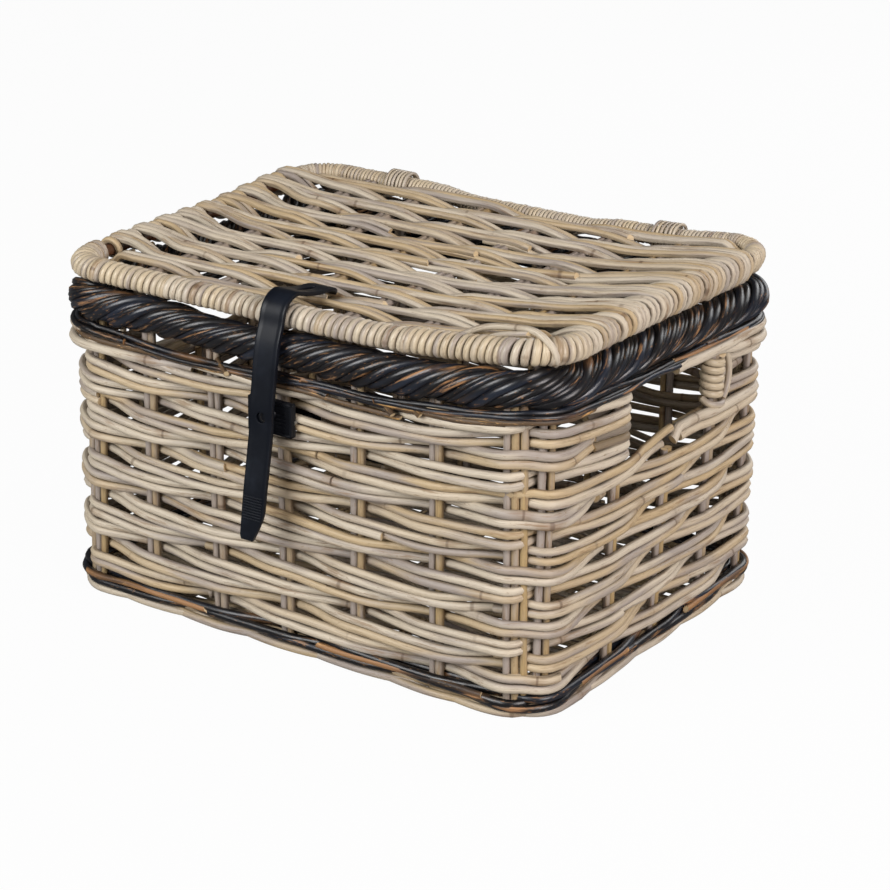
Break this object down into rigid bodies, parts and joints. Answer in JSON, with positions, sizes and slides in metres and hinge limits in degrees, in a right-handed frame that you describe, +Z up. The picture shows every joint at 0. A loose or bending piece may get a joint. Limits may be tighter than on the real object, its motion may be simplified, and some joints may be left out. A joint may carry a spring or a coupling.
{
  "type": "bicycle basket",
  "caption": "Rectangular woven rattan bicycle basket with a dark plaited rim, hand openings in the short sides, a hinged woven lid and a rubber closing strap over a peg.",
  "frame": {"origin": "middle of the basket's flat underside, on the floor it stands on", "axes": "+X along the long side, to the right when the strap is faced; -Y is the side with the strap, +Y the hinge side; +Z up, towards the lid"},
  "size_m": [0.466, 0.3939, 0.291],
  "materials": {
    "natural_rattan": "satin, greyed",
    "stake_rattan": "satin",
    "dark_rattan": "satin, stained",
    "frame_pole": "satin",
    "strap_rubber": "semi-matte",
    "moulded_plastic": "matte",
    "screw_steel": "brushed"
  },
  "bodies": {
    "basket": {"base_frame": "natural_rattan", "base_panel": "natural_rattan", "low_band": "dark_rattan", "upper_band": "dark_rattan", "stake_front_1": "stake_rattan", "stake_front_2": "stake_rattan", "stake_front_3": "stake_rattan", "stake_front_4": "stake_rattan", "stake_front_5": "stake_rattan", "stake_front_6": "stake_rattan", "stake_front_7": "stake_rattan", "stake_back_1": "stake_rattan", "stake_back_2": "stake_rattan", "stake_back_3": "stake_rattan", "stake_back_4": "stake_rattan", "stake_back_5": "stake_rattan", "stake_back_6": "stake_rattan", "stake_back_7": "stake_rattan", "stake_left_1": "stake_rattan", "stake_left_2": "stake_rattan", "stake_left_3": "stake_rattan", "stake_left_4": "stake_rattan", "stake_left_5": "stake_rattan", "stake_right_1": "stake_rattan", "stake_right_2": "stake_rattan", "stake_right_3": "stake_rattan", "stake_right_4": "stake_rattan", "stake_right_5": "stake_rattan", "wall_front": "natural_rattan", "wall_back": "natural_rattan", "wall_left": "natural_rattan", "wall_right": "natural_rattan", "wall_corner_front_left": "natural_rattan", "wall_corner_front_right": "natural_rattan", "wall_corner_back_left": "natural_rattan", "wall_corner_back_right": "natural_rattan", "handle_sill_left": "natural_rattan", "handle_sill_right": "natural_rattan", "handle_wrap_left": "natural_rattan", "handle_wrap_right": "natural_rattan", "rim": "dark_rattan", "hinge_loop_left": "natural_rattan", "hinge_loop_right": "natural_rattan", "knob_plate": "moulded_plastic", "backing_plate": "moulded_plastic", "plate_screw_1": "screw_steel", "plate_screw_2": "screw_steel"},
    "lid": {"lid_pole": "frame_pole", "lid_weave": "natural_rattan", "lid_wrap_front": "natural_rattan", "lid_wrap_back": "natural_rattan", "strap_anchor": "strap_rubber", "lid_rib_1": "stake_rattan", "lid_rib_2": "stake_rattan", "lid_rib_3": "stake_rattan", "lid_rib_4": "stake_rattan", "lid_rib_5": "stake_rattan", "lid_rib_6": "stake_rattan"},
    "strap": {"strap_tail": "strap_rubber"}
  },
  "joints": [
    {"name": "lid_hinge", "type": "hinge", "parent": "basket", "child": "lid", "pos_m": [0, 0.1625, 0.2725], "axis": [-1, 0, 0], "range_deg": [0, 110]},
    {"name": "strap_swing", "type": "hinge", "parent": "lid", "child": "strap", "pos_m": [-0.006, -0.1779, 0.2725], "axis": [-1, 0, 0], "range_deg": [0, 100]}
  ]
}
